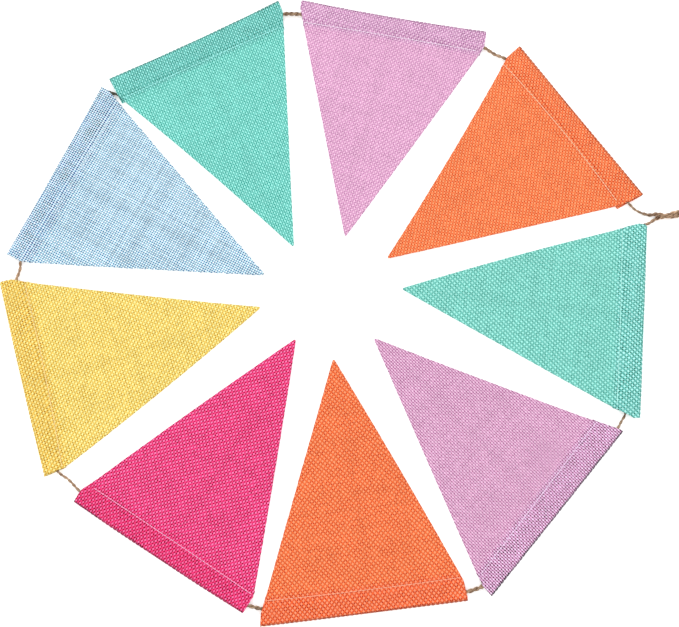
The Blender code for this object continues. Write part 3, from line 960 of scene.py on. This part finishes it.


# %% [markdown]
# Spun yarn is uneven. One thread is a little lighter or darker than the next, which a random number for each
# thread gives, and lighter and darker along its length, which is noise stretched along the thread. Then come
# a mottled cloth, and painted shade: darker along its cut edges, where the thread ends stand in shade, and
# on the fold, where the cloth turns away from the light.


# %% Finish: uneven yarn, mottling and painted shade
def yarn_tone(tree, number, split, warp_up, weave):
    """How light or dark the yarn is at each place, 1 being its plain colour."""
    tones = []
    for axis, scale in (("X", (1.0, 0.12, 1.0)), ("Y", (0.12, 1.0, 1.0))):
        place = add_node(tree, "Mapping", {0: number, 3: scale})
        streak = add_node(tree, "TexNoise", {"Vector": place, "Scale": 1.0, "Detail": 2.0})
        streak = add_node(tree, "MapRange", {0: streak, 1: 0.3, 2: 0.7, 3: 0.93, 4: 1.07})
        thread = add_node(tree, "Math", {0: split.outputs[axis]}, operation="ROUND")
        own = add_node(tree, "TexWhiteNoise", {"W": thread}, noise_dimensions="1D")
        own = add_node(tree, "MapRange", {0: own, 3: -weave.uneven, 4: weave.uneven})
        tones.append(add_node(tree, "Math", {0: own, 1: streak}, operation="ADD"))
    return add_node(tree, "Mix", {0: warp_up, 2: tones[1], 3: tones[0]})


def mottle_and_painted_shade(tree, number, tone, dye):
    """The tone with the cloth's mottling, and painted shade at its cut edge and along the fold."""
    mottle = add_node(tree, "TexNoise", {"Vector": number, "Scale": 0.07, "Detail": 3.0})
    mottle = add_node(tree, "MapRange", {0: mottle, 1: 0.3, 2: 0.7, 3: 0.98, 4: 1.02})
    # painted shade: darker at the cut edge, and darker on the fold where it turns away from the light
    edge = add_node(tree, "Attribute", {}, output=2, attribute_name="edge")
    ends = add_node(tree, "MapRange", {0: edge, 1: 0.3, 3: 1.0, 4: 0.84})
    fold = add_node(tree, "Attribute", {}, output=2, attribute_name="fold")
    painted_fold_shade = add_node(tree, "MapRange", {0: fold, 1: dye.soiled - 1.2, 2: dye.soiled, 3: dye.fold, 4: 1.0})
    for mark in (mottle, ends, painted_fold_shade):
        tone = add_node(tree, "Math", {0: tone, 1: mark}, operation="MULTIPLY")
    return tone


# %% [markdown]
# How far the threads stand out is set last, by moving each colour away from the cloth's plain colour, or
# back to it, which makes the weave's painted highlights and painted shade stronger or weaker. In a hem they
# stand out more, and more in some patches than in others, where the two layers lie close. The relief is in
# the mesh, and the bump only adds the dome of each crossing and fine fibres.


# %% Finish: dyed cotton
def stand_out(tree, number, colour, hem, dye, weave):
    """The colour moved away from the cloth's plain colour, most in patches of the hem."""
    patches = add_node(tree, "TexNoise", {"Vector": number, "Scale": 0.12, "Detail": 2.0})
    patches = add_node(
        tree, "MapRange", {0: patches, 1: 0.35, 2: 0.62, 3: 0.85 * dye.hem_crisp, 4: 1.15 * dye.hem_crisp}
    )
    crisp = add_node(tree, "Mix", {0: hem, 2: dye.crisp, 3: patches})
    share = HOLES * (0.25 + (weave.warp_rows + weave.weft_rows) / 2)
    plain = [
        lerp((over_part + under_part) / 2, hole_part, share)
        for over_part, under_part, hole_part in zip(linear(dye.over), linear(dye.under), linear(dye.hole))
    ]
    return add_node(tree, "Mix", {0: crisp, 6: plain, 7: colour}, output=2, **PAST_THE_ENDS)


def cotton(name, dye, weave):
    """Matt cotton. Its IOR is that of cellulose, and a low sheen is its down of loose fibres."""
    material = bpy.data.materials.new(name)
    material.use_nodes = True
    tree = material.node_tree
    shader = tree.nodes["Principled BSDF"]
    number = thread_numbers(tree)
    split = add_node(tree, "SeparateXYZ", {0: number}).node
    colour, warp_up, dome = plain_weave(tree, number, split, dye, weave)
    tone = mottle_and_painted_shade(tree, number, yarn_tone(tree, number, split, warp_up, weave), dye)
    colour = add_node(tree, "VectorMath", {0: colour, "Scale": tone}, operation="SCALE")
    hem = add_node(tree, "Attribute", {}, output=2, attribute_name="hem")
    colour = stand_out(tree, number, colour, hem, dye, weave)
    # light that comes through a single layer is lost where the cloth is doubled
    doubled = {0: hem, 6: colour, 7: linear(dye.hem)}
    colour = add_node(tree, "Mix", doubled, output=2, data_type="RGBA", blend_type="MULTIPLY")
    tree.links.new(colour, shader.inputs["Base Color"])
    fibres = add_node(tree, "TexNoise", {"Vector": number, "Scale": 5.0, "Detail": 2.0})
    height = add_node(tree, "Math", {0: fibres, 1: 0.25, 2: dome}, operation="MULTIPLY_ADD")
    bump = add_node(tree, "Bump", {"Strength": 1.0, "Distance": 0.25 * MM, "Height": height})
    tree.links.new(bump, shader.inputs["Normal"])
    shader.inputs["Roughness"].default_value = 0.9
    shader.inputs["IOR"].default_value = 1.5
    shader.inputs["Specular IOR Level"].default_value = 0.2
    shader.inputs["Sheen Weight"].default_value = 0.1
    shader.inputs["Sheen Roughness"].default_value = 0.5
    return material


for place, weave, dye, cloth in zip(PLACES, WEAVES, DYES, cloths):
    cloth.data.materials.clear()
    cloth.data.materials.append(cotton("woven_cotton_" + place.node[8:], dye, weave))
print("cottons:", [cloth.data.materials[0].name for cloth in cloths])

# %% [markdown]
# Jute is a coarse bast fibre, brown with straw-coloured and dark strands, and hairy. The strands run along
# each ply. The sewing thread is spun polyester, slightly glossy, in a pale tint of each cloth.

# %% Finish: jute and sewing thread
# how fine the noise is, to a metre
JUTE_PATCHES = 250.0
JUTE_FIBRES = 1800.0
THREAD_FIBRES = 2500.0


def jute():
    material = bpy.data.materials.new("jute_two_ply")
    material.use_nodes = True
    tree = material.node_tree
    shader = tree.nodes["Principled BSDF"]
    along = add_node(tree, "Attribute", {}, output=1, attribute_name="strands")
    strand = add_node(tree, "TexNoise", {"Vector": along, "Scale": 3.5, "Detail": 2.0})
    place = add_node(tree, "TexCoord", output=3)
    coarse = add_node(tree, "TexNoise", {"Vector": place, "Scale": JUTE_PATCHES, "Detail": 2.0})
    fine = add_node(tree, "TexNoise", {"Vector": place, "Scale": JUTE_FIBRES, "Detail": 3.0})
    blend = add_node(tree, "Math", {0: coarse, 1: 0.5, 2: strand}, operation="MULTIPLY_ADD")
    share = add_node(tree, "MapRange", {0: blend, 1: 0.6, 2: 0.95})
    colour = add_node(
        tree, "Mix", {0: share, 6: linear("#533a2a"), 7: linear("#cfb091")}, output=2, data_type="RGBA"
    )
    # painted shade between the blue and the teal hem, and a darker or paler tone at other stretches, mixed in
    # here
    painted_shade_and_tone = add_node(tree, "Attribute", {}, output=2, attribute_name="painted_shade_and_tone")
    colour = add_node(tree, "Mix", {0: painted_shade_and_tone, 6: colour, 7: linear("#38443c")}, output=2, **PAST_THE_ENDS)
    tree.links.new(colour, shader.inputs["Base Color"])
    height = add_node(tree, "Math", {0: fine, 1: 0.5, 2: strand}, operation="MULTIPLY_ADD")
    bump = add_node(tree, "Bump", {"Strength": 0.8, "Distance": 0.15 * MM, "Height": height})
    tree.links.new(bump, shader.inputs["Normal"])
    shader.inputs["Roughness"].default_value = 0.9
    shader.inputs["Specular IOR Level"].default_value = 0.2
    return material


def sewing_thread(name, hex_colour):
    material = bpy.data.materials.new(name)
    material.use_nodes = True
    tree = material.node_tree
    shader = tree.nodes["Principled BSDF"]
    light = linear(hex_colour)
    shade = [part * 0.85 for part in light[:3]] + [1.0]
    place = add_node(tree, "TexCoord", output=3)
    strands = add_node(tree, "TexNoise", {"Vector": place, "Scale": THREAD_FIBRES, "Detail": 1.0})
    colour = add_node(tree, "Mix", {0: strands, 6: shade, 7: light}, output=2, data_type="RGBA")
    tree.links.new(colour, shader.inputs["Base Color"])
    bump = add_node(tree, "Bump", {"Strength": 0.4, "Distance": 0.05 * MM, "Height": strands})
    tree.links.new(bump, shader.inputs["Normal"])
    shader.inputs["Roughness"].default_value = 0.6
    return material


twine.data.materials.clear()
twine.data.materials.append(jute())
for place, dye, seam in zip(PLACES, DYES, seams):
    seam.data.materials.clear()
    seam.data.materials.append(sewing_thread("polyester_thread_" + place.node[8:], dye.sewing))

for place, hem, cut, area, cloth, seam in zip(PLACES, HEMS, CUTS, cut_areas, cloths, seams):
    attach(cloth, "root")
    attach(seam, "root")
    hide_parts(place.node)

# %% [markdown]
# The bunting lies on a white card under a white dome, with one large soft lamp at the far side, so that the
# light falls off a little towards the viewer. The card is also lit from below, as on a light table, which
# is how such pictures lose their shadows.

# %% Ground and light
GROUND_GAP = 0.2  # mm between the card and the lowest solid
bpy.ops.object.select_all(action="DESELECT")
bpy.ops.mesh.primitive_plane_add(size=6.0, location=(0, 0, -GROUND_GAP * MM))
ground = bpy.context.object
ground.name = "ground"
card = bpy.data.materials.new("matt_white_card")
card.use_nodes = True
card_shader = card.node_tree.nodes["Principled BSDF"]
card_shader.inputs["Base Color"].default_value = (0.9, 0.9, 0.9, 1)
card_shader.inputs["Roughness"].default_value = 0.9
card_shader.inputs["Specular IOR Level"].default_value = 0.1
card_shader.inputs["Emission Color"].default_value = (1, 1, 1, 1)
card_shader.inputs["Emission Strength"].default_value = 0.35
ground.data.materials.append(card)

LAMP_AT = Vector((-0.4, 0.9, 1.3))
aim = (-LAMP_AT).to_track_quat("-Z", "Y")
bpy.ops.object.light_add(type="AREA", location=LAMP_AT, rotation=aim.to_euler())
lamp = bpy.context.object
lamp.name = "far_softbox"
lamp.data.size = 0.9
lamp.data.energy = 4.0

world = bpy.data.worlds.new("white_studio")
world.use_nodes = True
sky = world.node_tree.nodes["Background"]
sky.inputs["Color"].default_value = (1, 1, 1, 1)
sky.inputs["Strength"].default_value = 1.16
bpy.context.scene.world = world
bpy.context.scene.view_settings.view_transform = "Standard"
